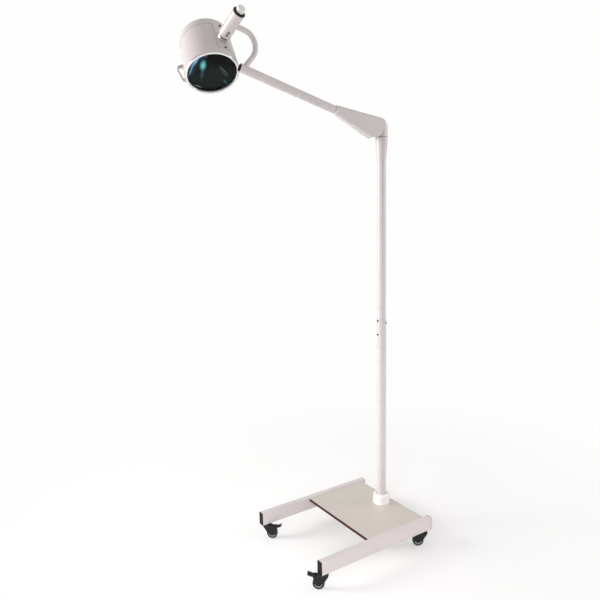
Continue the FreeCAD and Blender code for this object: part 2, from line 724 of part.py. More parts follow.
# ---- head (head frame) -----------------------------------------------------------------------
SADDLE_SCREWS = [(-4.0, -74.5), (-2.0, 47.0)]  # angle about the drum's axis, z
DRILL_REACH = 130.0
GRIP_ANGLE = 138.0
GRIP_Z = 28.0
GRIP_FOOT = 33.0  # from the middle of the grip to each screw
GRIP_ORIGIN = 100.0  # the grip's origin, out from the drum's axis
grip_out = polar(GRIP_ANGLE)
grip_across = Z.cross(grip_out)
saddle_holes = [radial(*screw) for screw in SADDLE_SCREWS]


def drum_radius(z):
    slope = ((size.drum_front_rad - size.drum_back_rad)
             / (size.drum_front - size.drum_back))
    return size.drum_back_rad + (z - size.drum_back) * slope


def grip_screw_places(reach):
    return [Placement(grip_out * reach + grip_across * (side * GRIP_FOOT) + Z * GRIP_Z,
                      Rotation(Z, grip_out)) for side in SIDES]


def saddle_plate():
    blank = body("saddle_blank")
    back, front = drum_radius(-79.4), drum_radius(54.0)
    turn(blank, [(back + 0.25, -79.4), (front + 0.25, 54.0), (front + 3.2, 53.0),
                 (back + 3.2, -78.4)], angle=26.0, centred=True)
    pad(blank, [circle(20.0)], 8.15, "YZ", 103.75)
    keep(drilled(blank, "saddle_plate", 2.1, saddle_holes, DRILL_REACH), HEAD)
    screw = turned("saddle_screw", [(0.0, 0.0), (2.0, 0.0), (2.0, 7.5), (4.5, 7.5), (4.5, 8.5),
                                    (3.2, 10.1), (0.0, 10.1)])
    group("saddle_screws", screw,
          [HEAD.multiply(radial(angle, z, drum_radius(z).value + 3.55 - 7.5))
           for angle, z in SADDLE_SCREWS])


def drum_housing():
    wall, front, back = size.drum_wall, size.drum_front, size.drum_back
    front_rad, back_rad, lip = size.drum_front_rad, size.drum_back_rad, size.bezel_rad + 0.05
    blank = turned("drum_blank", [
        (back_rad - wall, back), (back_rad, back), (front_rad, front - 2.5, 2.5),
        (front_rad - 2.5, front), (lip, front), (lip, front - 2.4), (front_rad - wall, front - 6)])
    keep(drilled(blank, "drum_housing", 2.1, saddle_holes + grip_screw_places(0.0), DRILL_REACH),
         HEAD)


def rear_cover():
    skirt, end, bend = size.cap_skirt, size.cap_end, size.cap_round
    inner, rim = size.drum_back_rad - size.drum_wall, size.drum_back
    blank = turned("rear_blank", [
        (0.0, end - 3), (skirt - bend, end, bend), (skirt, end + bend), (skirt, rim - 0.1),
        (inner - 0.4, rim - 0.1), (inner - 0.4, rim + 10), (inner - 2.2, rim + 10),
        (inner - 2.2, end + bend), (skirt - bend, end + 2.2), (0.0, end - 0.8)])
    # the rear saddle screw also holds the cover's inner skirt
    keep(drilled(blank, "rear_cover", 2.1, saddle_holes[:1], DRILL_REACH), HEAD)


def head_front():
    """Bezel, gasket, glass and reflector."""
    outer, front = size.bezel_rad, size.drum_front
    rad, low, high = size.glass_rad, size.glass_z, size.glass_z + size.glass_thk
    keep(turned("bezel_ring", [
        (size.bezel_bore, high + 1.5), (outer, high + 1.5), (outer, front + 3),
        (outer - 3, front + 6, 3.5), (outer - 7, front + 5)]), HEAD)
    keep(turned("glass_gasket", [
        (rad - 5, low - 2), (rad + 3, low - 2), (rad + 3, high + 1.5), (rad - 5, high + 1.5),
        (rad - 5, high + 0.02), (rad + 0.05, high + 0.02), (rad + 0.05, low - 0.02),
        (rad - 5, low - 0.02)]), HEAD)
    glass = body("front_glass")
    pad(glass, [circle(rad)], size.glass_thk, offset=low)
    keep(glass, HEAD)
    keep(turned("reflector", [(20.0, -46.0, 190.0), (91.0, 58.0), (97.0, 58.0), (97.0, 59.5),
                              (90.0, 59.5, -188.5), (19.0, -44.6)]), HEAD)


def lamp():
    bracket = body("lamp_bracket")
    pad(bracket, [box(-93.2, 93.2, -12.0, 12.0)], 2.0, offset=-74.0)
    pocket(bracket, [circle(12.05)], 10, offset=-78.0, flip=True)
    keep(bracket, HEAD)
    keep(turned("lamp_holder", [(0.0, -82.0), (12.0, -82.0), (12.0, -71.9), (15.0, -71.9),
                                (15.0, -50.0), (13.0, -46.0), (0.0, -46.0)]), HEAD)
    keep(turned("halogen_bulb", [(0.0, -45.95), (5.5, -45.95), (6.5, -38.0), (6.5, -16.0, 6.5),
                                 (0.0, -9.5)]), HEAD)
    transformer = body("transformer")
    height = 24.0
    pad(transformer, [box(32.0, 82.0, -30.0, 30.0)], height, offset=-106.0)
    soften(transformer, 3.0, lambda e: near(e.Length, height))
    keep(transformer, HEAD)


def head_handle():
    """U-shaped grip standing off the drum: x across it, y outwards."""
    grip = body("head_handle")
    width, straight = 14.0, 14.0
    inner, outer, turn_x = GRIP_FOOT + 1, GRIP_FOOT + 5, GRIP_FOOT - 7
    top = straight + 12.0
    pad(grip, [[(outer, -6.0), (outer, straight, 12.0), (turn_x, top), (-turn_x, top, 12.0),
                (-outer, straight), (-outer, -6.0), (-inner, -6.0), (-inner, straight, -8.0),
                (-turn_x, top - 4), (turn_x, top - 4, -8.0), (inner, straight),
                (inner, -6.0)]], width, offset=-width / 2)
    # feet, cut to the drum's curve and drilled
    for x0, x1 in ((turn_x, GRIP_FOOT + 3), (-GRIP_FOOT - 3, -turn_x)):
        pad(grip, [box(x0, x1, -6.0, 4.5)], width, offset=-width / 2)
    pocket(grip, [circle(drum_radius(GRIP_Z + width / 2) + 0.15, 0.0, -GRIP_ORIGIN)],
           60, offset=-20.0, flip=True)
    pocket(grip, [circle(2.1, side * GRIP_FOOT) for side in SIDES], 18.0, "XZ", centred=True)
    keep(grip, HEAD.multiply(frame(grip_out * GRIP_ORIGIN + Z * GRIP_Z, grip_across, grip_out,
                                   grip_across.cross(grip_out))))
    screw = turned("handle_screw", [(0.0, -5.2), (3.6, -5.2), (3.6, -3.0), (2.0, -3.0),
                                    (2.0, 4.0), (0.0, 4.0)])
    group("handle_screws", screw, [HEAD.multiply(place) for place in grip_screw_places(98.0)])


# ---- casters ---------------------------------------------------------------------------------
# Local frame: origin on the swivel axis at the rail's underside, the wheel trails along +X.
# Corner: side, stem y, swivel angle
CASTERS = {
    "front_left": (-1, size.stem_y_front, 45.0), "front_right": (1, size.stem_y_front, -130.0),
    "back_left": (-1, size.stem_y_back, 150.0), "back_right": (1, size.stem_y_back, -122.0),
}
FORK_WIDTH = 26
FORK_GAP = 20.4
PEDAL_WIDTH = 19.6
TREAD_WIDTH = 27
PEDAL_PIN = (46.0, -15.0)
# Side view of the fork (x, z)
FORK_SIDE = [
    (-13.0, -3.2), (12.0, -3.2), (34.0, -12.0), (46.0, -24.0), (52.0, -40.0), (34.0, -55.0),
    (22.0, -55.0), (2.0, -36.0), (-13.0, -12.0),
]


def caster_fork(label):
    fork = body(label)
    axle = (size.trail, -size.axle_drop)
    pad(fork, [FORK_SIDE], FORK_WIDTH, "XZ", centred=True)
    pad(fork, [circle(14.5)], 8.8, offset=-12.0)
    pocket(fork, [circle(size.wheel_rad + 2.6, *axle)], FORK_GAP, "XZ", centred=True)
    pocket(fork, [circle(size.axle_rad + 0.02, *axle)], 60, "XZ", centred=True)
    pocket(fork, [circle(5.06)], 11.0, offset=-3.0)
    return fork


def braked_fork():
    """A caster fork with two cheeks that carry the brake pedal."""
    fork = caster_fork("fork_shell_braked")
    pad(fork, [[(34.0, -11.0), (46.0, -9.6, -5.4), (50.0, -18.6), (46.0, -26.0), (38.0, -20.0)]],
        FORK_WIDTH, "XZ", centred=True)
    pocket(fork, [[(37.0, -4.0), (60.0, -4.0), (60.0, -19.0), (45.6, -22.8), (37.0, -14.6)]],
           FORK_GAP, "XZ", centred=True)
    pocket(fork, [circle(2.56, *PEDAL_PIN)], 60, "XZ", centred=True)
    return fork


def brake_pedal():
    pedal = body("pedal_blank")
    pad(pedal, [circle(4.8, *PEDAL_PIN)], PEDAL_WIDTH, "XZ", centred=True)
    pad(pedal, [[(46.0, -10.3), (54.0, -9.4), (54.0, -14.0), (47.0, -18.0)]],
        PEDAL_WIDTH, "XZ", centred=True)
    pad(pedal, [[(53.2, -9.6), (62.0, -7.6), (72.0, -3.0), (74.5, -4.2), (74.0, -6.2),
                 (64.0, -11.4), (53.2, -14.2)]], TREAD_WIDTH, "XZ", centred=True)
    pad(pedal, [circle(2.5, *PEDAL_PIN)], 26, "XZ", centred=True)
    soften(pedal, 1.0, lambda e: len(e.Vertexes) == 2
           and all(near(abs(v.Y), TREAD_WIDTH / 2) for v in e.Vertexes))
    return pedal


def casters():
    stem = turned("caster_stem", [
        (0.0, -13.0), (5.0, -13.0), (5.0, -3.0), (11.0, -3.0), (11.0, -0.05), (5.0, -0.05),
        (5.0, 24.0), (4.0, 25.0), (0.0, 25.0)])
    plain = caster_fork("fork_shell")
    braked = braked_fork()
    axle = turned("wheel_axle", [
        (0.0, -15.0), (4.0, -15.0), (5.0, -13.05), (3.0, -13.05), (3.0, 13.05), (5.0, 13.05),
        (4.0, 15.0), (0.0, 15.0)])
    rad, half = size.wheel_rad, size.wheel_half
    tyre = turned("wheel_tyre", [
        (17.0, -half), (rad - 3, -half, 3.0), (rad, -half + 3), (rad, half - 3, 3.0),
        (rad - 3, half), (17.0, half)])
    bore = size.axle_rad + 0.06
    hub = turned("wheel_hub", [
        (bore, -9.6), (6.5, -9.6), (7.5, -5.0), (14.5, -5.0), (15.5, -8.6), (16.98, -8.6),
        (16.98, 8.6), (15.5, 8.6), (14.5, 5.0), (7.5, 5.0), (6.5, 9.6), (bore, 9.6)])
    pedal = brake_pedal()

    x, z = size.rail_x.value, size.rail_z.value
    group("caster_stems", stem, [at(side * x, y.value, z) for side, y, _ in CASTERS.values()])
    to_axle = at(size.trail.value, 0, -size.axle_drop.value, Rotation(X, -90))
    for corner, (side, y, angle) in CASTERS.items():
        base = at(side * x, y.value, z, Rotation(Z, angle))
        at_axle = base.multiply(to_axle)
        front = corner.startswith("front")
        compound("caster_fork_" + corner, [(braked if front else plain, base), (axle, at_axle)])
        compound("caster_wheel_" + corner, [(tyre, at_axle), (hub, at_axle)])
        if front:
            group("brake_pedal_" + corner, pedal, [base])


# ---- build, check and write ------------------------------------------------------------------
for build in (rails, rail_end_caps, base_plate, plate_brackets, column_collar, column_tubes,
              column_top, elbow, pivot_bracket, arm_tube, arm_covers, arm_fittings, yoke_tube,
              tilt_barrel, tension_knob, head_spindle, saddle_plate, drum_housing, rear_cover,
              head_front, lamp, head_handle, casters):
    build()
doc.recompute()

faults = ["%s %s" % (obj.Name, obj.State) for obj in doc.Objects
          if "Invalid" in obj.State or "Error" in obj.State]
for piece in pieces:
    shape = piece.Shape
    if shape.isNull() or not shape.isValid() or not shape.Solids or shape.Volume <= 0:
        faults.append("shape of " + piece.Label)
if faults:
    sys.exit("faulty: " + "; ".join(faults))

os.makedirs("parts", exist_ok=True)
for piece in pieces:
    piece.Shape.exportStep(os.path.join("parts", piece.Label + ".step"))
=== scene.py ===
import json
import math

import bmesh
import bpy
import numpy as np
from mathutils import Matrix, Vector

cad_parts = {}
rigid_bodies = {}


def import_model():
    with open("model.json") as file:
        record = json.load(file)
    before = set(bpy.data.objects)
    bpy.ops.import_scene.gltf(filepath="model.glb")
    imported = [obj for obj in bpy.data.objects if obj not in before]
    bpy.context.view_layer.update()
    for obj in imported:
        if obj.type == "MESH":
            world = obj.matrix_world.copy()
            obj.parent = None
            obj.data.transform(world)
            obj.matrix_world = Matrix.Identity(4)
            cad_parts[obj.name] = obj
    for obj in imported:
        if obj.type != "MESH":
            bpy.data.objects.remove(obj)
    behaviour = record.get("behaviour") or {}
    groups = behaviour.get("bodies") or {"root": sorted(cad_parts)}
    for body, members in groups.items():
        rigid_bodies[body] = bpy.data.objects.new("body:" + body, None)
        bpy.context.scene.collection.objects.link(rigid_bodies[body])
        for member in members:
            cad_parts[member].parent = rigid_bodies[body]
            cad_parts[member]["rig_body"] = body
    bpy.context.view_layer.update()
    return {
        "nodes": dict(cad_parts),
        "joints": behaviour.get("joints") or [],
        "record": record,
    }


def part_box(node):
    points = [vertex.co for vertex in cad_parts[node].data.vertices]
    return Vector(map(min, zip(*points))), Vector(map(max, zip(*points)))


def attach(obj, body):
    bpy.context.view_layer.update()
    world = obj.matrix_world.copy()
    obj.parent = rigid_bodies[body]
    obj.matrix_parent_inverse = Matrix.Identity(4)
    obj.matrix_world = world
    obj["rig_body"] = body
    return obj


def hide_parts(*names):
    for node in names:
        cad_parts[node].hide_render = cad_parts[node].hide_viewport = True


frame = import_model()
NODES = frame["nodes"]
JOINT = {joint["name"]: joint for joint in frame["joints"]}
SLOT_OF = {part["node"]: part["material_slot"] for part in frame["record"]["subparts"]}

MM = 0.001
FIT = 0.05  # clearance between mating pieces
COLUMN_R = 22.0
ARM_TUBE_R = 16.5
BARREL_R = 24.0
BARREL_HALF = 54.0

# ================================================================ frames


def frame_of(origin, x, y, z):
    """Matrix with these axes as its columns and this origin."""
    return Matrix([(*x, 0), (*y, 0), (*z, 0), (*origin, 1)]).transposed()


def joint_axis(name):
    return Vector(JOINT[name]["axis"]).normalized()


def outward(base, angle_deg, z):
    """Place whose Z points radially out at this angle, at height z (mm) of the base frame."""
    angle = math.radians(angle_deg)
    radial = Vector((math.cos(angle), math.sin(angle), 0))
    tangent = Vector((-math.sin(angle), math.cos(angle), 0))
    return base @ frame_of(Vector((0, 0, z * MM)), tangent, Vector((0, 0, 1)), radial)


WORLD = Matrix.Identity(4)

# arm: Z runs along the tube from the tilt pivot, X is the world's
ACROSS = Vector((1, 0, 0))
ARM_AXIS = -joint_axis("barrel_swivel")
ARM = frame_of(JOINT["arm_tilt"]["pos_m"], ACROSS, ARM_AXIS.cross(ACROSS).normalized(), ARM_AXIS)

# barrel: Z runs along the head's tilt axis
HEAD_TILT = math.radians(6.5)
HEAD_OFFSET = 0.178  # m from the barrel's middle to the head's axis
BARREL_MID = Vector(JOINT["head_tilt"]["pos_m"])
BARREL_AXIS = joint_axis("head_tilt")
BARREL_SIDE = BARREL_AXIS.cross(ARM_AXIS)
BARREL = frame_of(BARREL_MID, ARM_AXIS, BARREL_SIDE, BARREL_AXIS)

# head: Z runs out through the glass
BEAM = (BARREL_SIDE * math.cos(HEAD_TILT)
        + BARREL_AXIS.cross(BARREL_SIDE) * math.sin(HEAD_TILT))
HEAD = frame_of(BARREL_MID - BARREL_AXIS * HEAD_OFFSET, BARREL_AXIS, BEAM.cross(BARREL_AXIS), BEAM)

# ================================================================ shader nodes


def fill(tree, target, inputs):
    """Links each input given as a socket and sets every other one."""
    for key, value in inputs.items():
        if isinstance(value, bpy.types.NodeSocket):
            tree.links.new(value, target.inputs[key])
        else:
            target.inputs[key].default_value = value


def node(tree, kind, inputs, **settings):
    new = tree.nodes.new("ShaderNode" + kind)
    for name, value in settings.items():
        setattr(new, name, value)
    fill(tree, new, inputs)
    return new


def blank_material(name):
    """Material with only an output and object coordinates."""
    mat = bpy.data.materials.new(name)
    mat.use_nodes = True
    tree = mat.node_tree
    tree.nodes.clear()
    out = node(tree, "OutputMaterial", {})
    return mat, tree, out, node(tree, "TexCoord", {}).outputs["Object"]


def surface(name):
    """Material with a Principled shader on its output."""
    mat, tree, out, coord = blank_material(name)
    shader = node(tree, "BsdfPrincipled", {})
    tree.links.new(shader.outputs[0], out.inputs[0])
    return mat, tree, shader, coord


def noise(tree, coord, scale, detail=2.0, rough=0.5, stretch=None):
    if stretch is not None:
        coord = node(tree, "Mapping", {"Scale": stretch, "Vector": coord}).outputs[0]
    inputs = {"Scale": scale, "Detail": detail, "Roughness": rough, "Vector": coord}
    return node(tree, "TexNoise", inputs).outputs["Fac"]


def spread(tree, fac, low, high, start=0.35, end=0.65):
    """Maps start..end of the factor onto low..high."""
    inputs = {"From Min": start, "From Max": end, "To Min": low, "To Max": high, "Value": fac}
    return node(tree, "MapRange", inputs).outputs[0]


def blend_colours(tree, fac, first, second):
    inputs = {"A": (*first, 1), "B": (*second, 1), "Factor": fac}
    return node(tree, "Mix", inputs, data_type="RGBA").outputs["Result"]


def mottle(tree, fac, colour, tint):
    """Colour that wanders by the tint to either side."""
    darker = tuple(c * (1 - tint) for c in colour)
    lighter = tuple(min(1.0, c * (1 + tint)) for c in colour)
    return blend_colours(tree, fac, darker, lighter)


def bump(tree, height, strength, distance, under=None):
    inputs = {"Strength": strength, "Distance": distance, "Height": height}
    if under is not None:
        inputs["Normal"] = under
    return node(tree, "Bump", inputs).outputs[0]


# ================================================================ materials


def powder(name, colour, rough, peel, coat, tint=0.025):
    """Powder coat: faint cloudiness, orange peel in the gloss, slightly uneven roughness."""
    mat, tree, shader, coord = surface(name)
    cloud = spread(tree, noise(tree, coord, scale=7.0, detail=4.0, rough=0.6), 0.0, 1.0,
                   start=0.25, end=0.75)
    uneven = noise(tree, coord, scale=6.0, detail=3.0)
    coarse = bump(tree, noise(tree, coord, scale=420.0, detail=1.0),
                  strength=peel, distance=0.0006)
    fill(tree, shader, {
        "Base Color": mottle(tree, cloud, colour, tint),
        "Roughness": spread(tree, uneven, rough - 0.012, rough + 0.02, start=0.2, end=0.8),
        "Normal": bump(tree, noise(tree, coord, scale=1900.0), strength=peel * 0.5,
                       distance=0.0002, under=coarse),
        "Coat Weight": coat,
        "Coat Roughness": 0.12,
    })
    return mat


def plastic(name, colour, rough, grain, tint=0.12, coat=0.0, spec=0.5):
    """Moulded plastic with a fine grain and faint scuffing."""
    mat, tree, shader, coord = surface(name)
    patches = spread(tree, noise(tree, coord, scale=30.0, detail=4.0, rough=0.65), 0.0, 1.0)
    scuffs = noise(tree, coord, scale=140.0, detail=3.0)
    fill(tree, shader, {
        "Base Color": mottle(tree, patches, colour, tint),
        "Roughness": spread(tree, scuffs, rough - 0.07, rough + 0.09),
        "Normal": bump(tree, noise(tree, coord, scale=1500.0, detail=3.0, rough=0.6),
                       strength=grain, distance=0.0003),
        "Coat Weight": coat,
        "Specular IOR Level": spec,
    })
    return mat


def metal(name, colour, rough, brush=None, grain=0.06, tint=0.10):
    """Bare metal: brushed when brush gives the stretch of the noise, otherwise mottled."""
    mat, tree, shader, coord = surface(name)
    patches = spread(tree, noise(tree, coord, scale=60.0, detail=4.0, rough=0.6), 0.0, 1.0)
    if brush:
        texture = noise(tree, coord, scale=1.0, rough=0.7, stretch=brush)
    else:
        texture = noise(tree, coord, scale=900.0, detail=3.0)
    fill(tree, shader, {
        "Metallic": 1.0,
        "Base Color": mottle(tree, patches, colour, tint),
        "Roughness": spread(tree, texture, rough - 0.05, rough + 0.09),
        "Normal": bump(tree, texture, strength=grain, distance=0.0002),
    })
    return mat


def rubber(name, colour):
    mat, tree, shader, coord = surface(name)
    patches = spread(tree, noise(tree, coord, scale=55.0, detail=5.0, rough=0.7), 0.0, 1.0)
    darker = tuple(c * 0.75 for c in colour)
    lighter = tuple(c * 1.5 for c in colour)
    fill(tree, shader, {
        "Base Color": blend_colours(tree, patches, darker, lighter),
        "Roughness": spread(tree, noise(tree, coord, scale=220.0), 0.55, 0.78),
        "Normal": bump(tree, noise(tree, coord, scale=800.0, detail=3.0),
                       strength=0.2, distance=0.0004),
    })
    return mat


def head_plane(tree, coord):
    """Coordinates across the head's front plane, in metres from the beam's axis."""
    offset = node(tree, "VectorMath", {1: HEAD.translation, 0: coord}, operation="SUBTRACT")
    flat = node(tree, "CombineXYZ", {})
    for i in range(2):
        along = node(tree, "VectorMath", {1: HEAD.col[i].xyz, 0: offset.outputs[0]},
                     operation="DOT_PRODUCT")
        tree.links.new(along.outputs["Value"], flat.inputs[i])
    return flat.outputs[0]


# Patches of light on the glass, in the head's front plane:
# centre mm, turn in degrees, half sizes mm, colour, where the soft edge reaches full strength
GLINTS = [
    ((15.0, 46.7), 22.7, (34.0, 16.0), (0.09, 0.36, 0.37), 0.8),
    ((14.0, 46.5), 22.7, (19.0, 9.0), (0.07, 0.20, 0.19), 0.9),
    ((-26.0, 30.0), 20.0, (36.0, 11.0), (0.015, 0.040, 0.070), 0.9),
    ((16.0, 80.0), -5.0, (42.0, 6.5), (0.20, 0.40, 0.54), 0.8),
    ((-26.0, 77.5), 9.0, (34.0, 5.0), (0.15, 0.29, 0.40), 0.8),
    ((26.0, 84.0), -16.0, (56.0, 16.0), (0.004, 0.05, 0.13), 0.9),
    ((52.0, 66.0), -38.0, (30.0, 12.0), (0.01, 0.06, 0.11), 0.9),
    ((-12.0, 70.0), 8.0, (50.0, 9.0), (0.002, 0.02, 0.06), 0.8),
    ((22.0, -42.0), 64.8, (44.0, 3.2), (0.07, 0.11, 0.13), 0.8),
    ((8.0, -50.0), 64.8, (34.0, 2.6), (0.04, 0.08, 0.09), 0.8),
    ((-24.0, -72.0), 60.0, (22.0, 7.0), (0.02, 0.08, 0.09), 0.9),
    ((-86.0, 16.0), 90.0, (22.0, 2.0), (0.30, 0.32, 0.30), 0.7),
    ((59.3, 57.2), 40.0, (14.0, 7.0), (0.09, 0.006, 0.012), 0.8),
]


def glint(tree, flat, centre, turn_deg, half_size, colour, hard):
    """Soft elliptic patch of light."""
    local = node(tree, "Mapping", {
        "Location": (centre[0] * MM, centre[1] * MM, 0),
        "Rotation": (0, 0, math.radians(turn_deg)),
        "Scale": (half_size[0] * MM, half_size[1] * MM, 1),
        "Vector": flat,
    }, vector_type="TEXTURE")
    ball = node(tree, "TexGradient", {0: local.outputs[0]}, gradient_type="SPHERICAL")
    soft = node(tree, "MapRange", {"From Max": hard, "Value": ball.outputs["Fac"]},
                interpolation_type="SMOOTHSTEP")
    return node(tree, "VectorMath", {0: colour, "Scale": soft.outputs[0]},
                operation="SCALE").outputs[0]


def dark_glass(name):
    """Heat-filter glass, nearly black. Its blue-green reflections are painted on as glow, so they
    stay fixed to the glass instead of following the viewer."""
    mat, tree, out, coord = blank_material(name)
    ripple = bump(tree, noise(tree, coord, scale=26.0, detail=1.0),
                  strength=0.05, distance=0.0004)
    gloss = node(tree, "BsdfGlossy", {
        "Color": (0.80, 0.90, 0.95, 1),
        "Roughness": spread(tree, noise(tree, coord, scale=18.0, detail=3.0), 0.015, 0.05),
        "Normal": ripple,
    })
    tint = spread(tree, noise(tree, coord, scale=9.0), 0.0, 1.0)
    clear = node(tree, "BsdfTransparent", {
        "Color": blend_colours(tree, tint, (0.17, 0.19, 0.165), (0.20, 0.22, 0.19))})
    fresnel = node(tree, "Fresnel", {"IOR": 1.42})
    # the mirror share is held below the full Fresnel value
    share = node(tree, "Math", {1: 0.42, 0: fresnel.outputs[0]}, operation="MULTIPLY")
    pane = node(tree, "MixShader",
                {0: share.outputs[0], 1: clear.outputs[0], 2: gloss.outputs[0]})
    flat = head_plane(tree, coord)
    total = None
    for entry in GLINTS:
        patch = glint(tree, flat, *entry)
        if total is None:
            total = patch
        else:
            total = node(tree, "VectorMath", {0: total, 1: patch}, operation="ADD").outputs[0]
    # only front faces glow
    facing = node(tree, "NewGeometry", {}).outputs["Backfacing"]
    front = node(tree, "Math", {0: 1.0, 1: facing}, operation="SUBTRACT")
    glow = node(tree, "Emission", {"Color": total, "Strength": front.outputs[0]})
    both = node(tree, "AddShader", {0: pane.outputs[0], 1: glow.outputs[0]})
    tree.links.new(both.outputs[0], out.inputs[0])
    return mat


def dichroic(name):
    """Cold-mirror coating: teal drifts to blue and a trace of red with the viewing angle."""
    mat, tree, shader, coord = surface(name)
    facing = node(tree, "LayerWeight", {"Blend": 0.45}).outputs["Facing"]
    ramp = node(tree, "ValToRGB", {"Fac": facing})
    stops = ramp.color_ramp.elements
    stops[0].position, stops[0].color = 0.0, (0.10, 0.42, 0.42, 1)
    stops[1].position, stops[1].color = 1.0, (0.20, 0.05, 0.06, 1)
    for position, colour in (
        (0.30, (0.10, 0.50, 0.52, 1)),
        (0.55, (0.10, 0.28, 0.55, 1)),
        (0.80, (0.12, 0.10, 0.22, 1)),
    ):
        stops.new(position).color = colour
    fill(tree, shader, {
        "Base Color": ramp.outputs[0],
        "Metallic": 1.0,
        "Roughness": spread(tree, noise(tree, coord, scale=30.0), 0.14, 0.22),
        "Normal": bump(tree, noise(tree, coord, scale=45.0, detail=1.0),
                       strength=0.05, distance=0.001),
    })
    return mat


def quartz(name):
    mat, tree, shader, coord = surface(name)
    haze = spread(tree, noise(tree, coord, scale=80.0), 0.0, 1.0)
    fill(tree, shader, {
        "Transmission Weight": 0.9,
        "IOR": 1.46,
        "Base Color": blend_colours(tree, haze, (0.90, 0.92, 0.95), (0.97, 0.97, 0.97)),
        "Roughness": spread(tree, noise(tree, coord, scale=160.0), 0.03, 0.10),
    })
    return mat


PAINT = powder("paint_warm_grey", (0.64, 0.585, 0.585), rough=0.36, peel=0.05, coat=0.15)
PAINT_LIGHT = powder("paint_near_white", (0.90, 0.865, 0.86), rough=0.28, peel=0.05, coat=0.40)
PAINT_PLATE = powder("paint_plate", (0.58, 0.535, 0.485), rough=0.26, peel=0.03, coat=0.40,
                     tint=0.02)
BLACK = plastic("black_moulded", (0.010, 0.009, 0.010), rough=0.42, grain=0.12, spec=0.3)
BLACK_CAP = plastic("black_end_cap", (0.006, 0.004, 0.004), rough=0.55, grain=0.2, spec=0.18)
MAROON = plastic("maroon_edge_strip", (0.050, 0.004, 0.007), rough=0.36, grain=0.08, tint=0.2,
                 spec=0.25)
TYRE = rubber("tyre_rubber", (0.014, 0.014, 0.015))
HUB = plastic("hub_grey", (0.30, 0.30, 0.31), rough=0.35, grain=0.1)
ZINC = metal("zinc_plate", (0.62, 0.62, 0.60), rough=0.32)
OXIDE = metal("black_oxide", (0.035, 0.033, 0.032), rough=0.38)
SPRING = metal("spring_steel", (0.30, 0.29, 0.28), rough=0.30, brush=(30, 1800, 1800))
BRONZE = metal("sintered_bronze", (0.48, 0.32, 0.14), rough=0.42, grain=0.2)
NYLON = plastic("dark_nylon", (0.035, 0.028, 0.028), rough=0.5, grain=0.1)
CHROME = metal("bright_plate", (0.88, 0.88, 0.885), rough=0.24, grain=0.02, tint=0.03)
KNOB = plastic("knob_white", (0.80, 0.785, 0.75), rough=0.30, grain=0.05, tint=0.02, coat=0.3)
SEAL = rubber("gasket_rubber", (0.018, 0.018, 0.018))
HANDLE = metal("brushed_handle", (0.50, 0.50, 0.49), rough=0.33, brush=(60, 900, 900))
LENS = dark_glass("heat_filter_glass")
DICHROIC = dichroic("cold_mirror")
QUARTZ = quartz("quartz_capsule")
CERAMIC = plastic("white_ceramic", (0.76, 0.73, 0.66), rough=0.4, grain=0.1, tint=0.04)
ALU = metal("cast_case", (0.50, 0.50, 0.52), rough=0.42, grain=0.25)
FILAMENT = metal("tungsten", (0.35, 0.34, 0.33), rough=0.35)

BY_SLOT = {
    "paint": PAINT, "black_plastic": BLACK, "maroon_trim": MAROON, "tyre_rubber": TYRE,
    "zinc_steel": ZINC, "black_screw": OXIDE, "spring_steel": SPRING, "bronze": BRONZE,
    "nylon": NYLON, "chrome": CHROME, "knob_white": KNOB, "seal": SEAL, "lens": LENS,
    "bulb": QUARTZ, "dichroic": DICHROIC, "ceramic": CERAMIC, "transformer_case": ALU,
}
# pieces whose material differs from the rest of their slot
SPECIAL = {
    "column_collar": PAINT_LIGHT, "base_plate": PAINT_PLATE, "rail_end_caps": BLACK_CAP,
    # the socket ring is a piece of its own, but its white is a painted highlight: it stands in for
    # light caught round the arm tube at the covers' mouth
    "socket_ring": KNOB, "head_handle": HANDLE,
}


def material_of(piece):
    return SPECIAL.get(piece, BY_SLOT[SLOT_OF[piece]])


for piece, obj in NODES.items():
    if not obj.data.materials:
        obj.data.materials.append(material_of(piece))
    for i in range(len(obj.data.materials)):
        obj.data.materials[i] = material_of(piece)

# ================================================================ mesh helpers


def is_hard(edge, limit_deg):
    return len(edge.link_faces) == 2 and edge.calc_face_angle(0.0) > math.radians(limit_deg)


def to_object(bm, name, body, mat, replaced=None, sharp=42.0, weighted=True):
    bmesh.ops.recalc_face_normals(bm, faces=bm.faces)
    for edge in bm.edges:
        edge.smooth = not is_hard(edge, sharp)
    for face in bm.faces:
        face.smooth = True
        face.material_index = 0
    mesh = bpy.data.meshes.new(name)
    bm.to_mesh(mesh)
    bm.free()
    mesh.materials.append(mat)
    obj = bpy.data.objects.new(name, mesh)
    bpy.context.scene.collection.objects.link(obj)
    if weighted:
        normals = obj.modifiers.new("normals", "WEIGHTED_NORMAL")
        normals.keep_sharp = True
        normals.weight = 60
    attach(obj, body)
    if replaced:
        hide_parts(replaced)


def refine(piece, width, segments=2):
    """The CAD piece welded, with every hard edge broken by a small bevel (mm)."""
    bm = bmesh.new()
    bm.from_mesh(NODES[piece].data)
    bmesh.ops.remove_doubles(bm, verts=bm.verts, dist=2e-6)
    bmesh.ops.dissolve_degenerate(bm, edges=bm.edges, dist=1e-6)
    bmesh.ops.dissolve_limit(bm, angle_limit=math.radians(0.5), use_dissolve_boundaries=False,
                             verts=bm.verts, edges=bm.edges, delimit=set())
    edges = [edge for edge in bm.edges if is_hard(edge, 28.0)]
    if edges:
        bmesh.ops.bevel(bm, geom=edges, offset=width * MM, offset_type="OFFSET",
                        segments=segments, profile=0.5, affect="EDGES", clamp_overlap=True,
                        loop_slide=True)
    to_object(bm, piece + "_fine", NODES[piece]["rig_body"], material_of(piece),
              piece)


def unit(vector):
    return vector / np.linalg.norm(vector)


